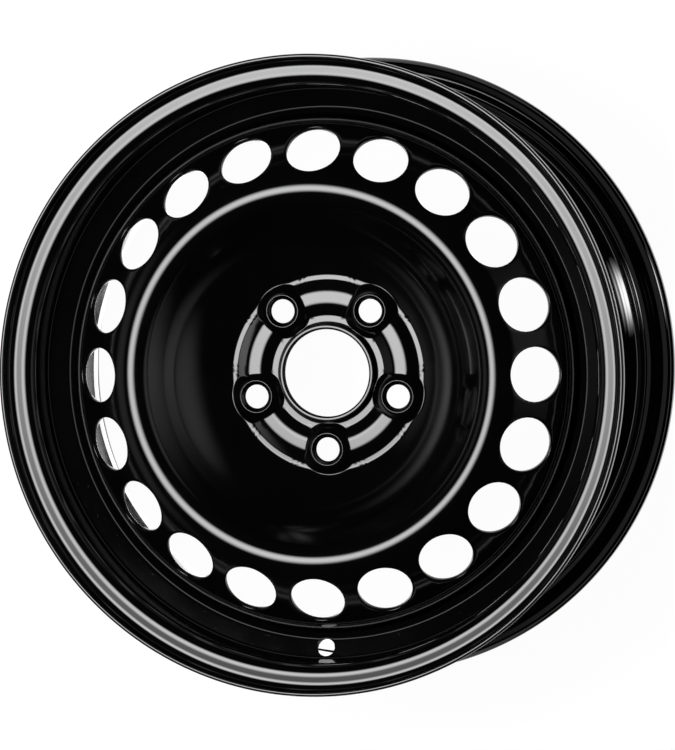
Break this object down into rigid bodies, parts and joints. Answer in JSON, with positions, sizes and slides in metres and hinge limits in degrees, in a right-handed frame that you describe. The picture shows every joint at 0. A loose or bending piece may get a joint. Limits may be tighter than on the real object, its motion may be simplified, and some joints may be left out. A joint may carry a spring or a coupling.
{
  "type": "steel wheel rim",
  "caption": "Black steel car wheel: roll-formed rim with a drop-centre well and a welded pressed disc with round vents, raised bolt bosses and a centre bore.",
  "frame": {"origin": "on the wheel axis, in the middle plane of the rim, halfway between the two flange lips", "axes": "+Z along the wheel axis out of the front face, +Y away from the valve hole; the wheel lies face up on its rear flange"},
  "size_m": [0.4152, 0.415, 0.1784],
  "materials": {
    "rim_paint": "gloss black dip paint on rolled steel",
    "disc_paint": "gloss black dip paint on pressed steel",
    "weld_paint": "black dip paint over weld"
  },
  "bodies": {
    "root": {"rim_barrel": "rim_paint", "wheel_disc": "disc_paint", "weld_beads": "weld_paint"}
  },
  "joints": []
}
